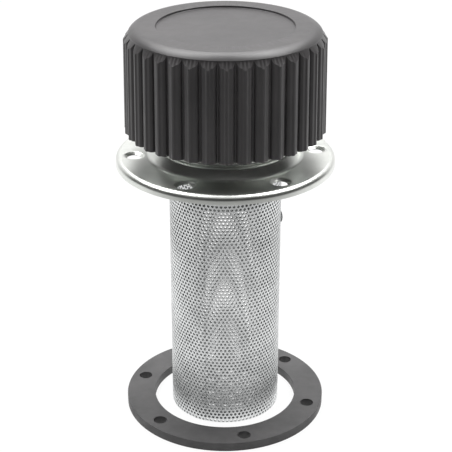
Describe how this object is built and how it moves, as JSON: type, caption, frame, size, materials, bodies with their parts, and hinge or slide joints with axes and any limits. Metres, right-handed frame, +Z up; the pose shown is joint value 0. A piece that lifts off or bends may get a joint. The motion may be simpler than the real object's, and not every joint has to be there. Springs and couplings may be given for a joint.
{
  "type": "hydraulic filler breather",
  "caption": "Tank filler breather: ribbed bayonet cap with an air filter, pressed round flange with a bolt circle, perforated strainer basket and a loose flat gasket.",
  "frame": {"origin": "on the basket's axis, at the level that the basket's foot and the loose gasket stand on", "axes": "+Z up along the basket's and the cap's axis; -Y is the front; the lanced eye in the basket wall is on +X"},
  "size_m": [0.0878, 0.0878, 0.1659],
  "materials": {
    "zinc_flange": "bright zinc plated, pressed",
    "zinc_basket": "zinc plated perforated sheet",
    "zinc_inner": "zinc plated, plain",
    "cap_plastic": "black polyamide, moulded, satin",
    "gasket_rubber": "black rubber sheet, cut",
    "seal_rubber": "black rubber, moulded",
    "filter_paper": "resin-treated filter paper",
    "felt": "pressed felt"
  },
  "bodies": {
    "tank_side": {"flange_plate": "zinc_flange", "basket_collar": "zinc_inner", "basket_wall": "zinc_basket", "basket_foot": "zinc_basket", "tank_gasket": "gasket_rubber"},
    "cap": {"cap_shell": "cap_plastic", "centre_stud": "zinc_inner", "filter_paper": "filter_paper", "filter_core": "zinc_inner", "filter_lower_disc": "zinc_inner", "filter_upper_disc": "zinc_inner", "stud_ring": "seal_rubber", "filter_felt": "felt", "cap_base": "zinc_inner", "cap_seal": "seal_rubber", "spacer_tube": "zinc_inner", "bayonet_plate": "zinc_inner", "stud_washer": "zinc_inner", "spring_washer": "zinc_inner", "stud_nut": "zinc_inner"}
  },
  "joints": [
    {"name": "cap_turn", "type": "hinge", "parent": "tank_side", "child": "cap", "pos_m": [0, 0, 0.126], "axis": [0, 0, 1], "range_deg": [0, 60]}
  ]
}
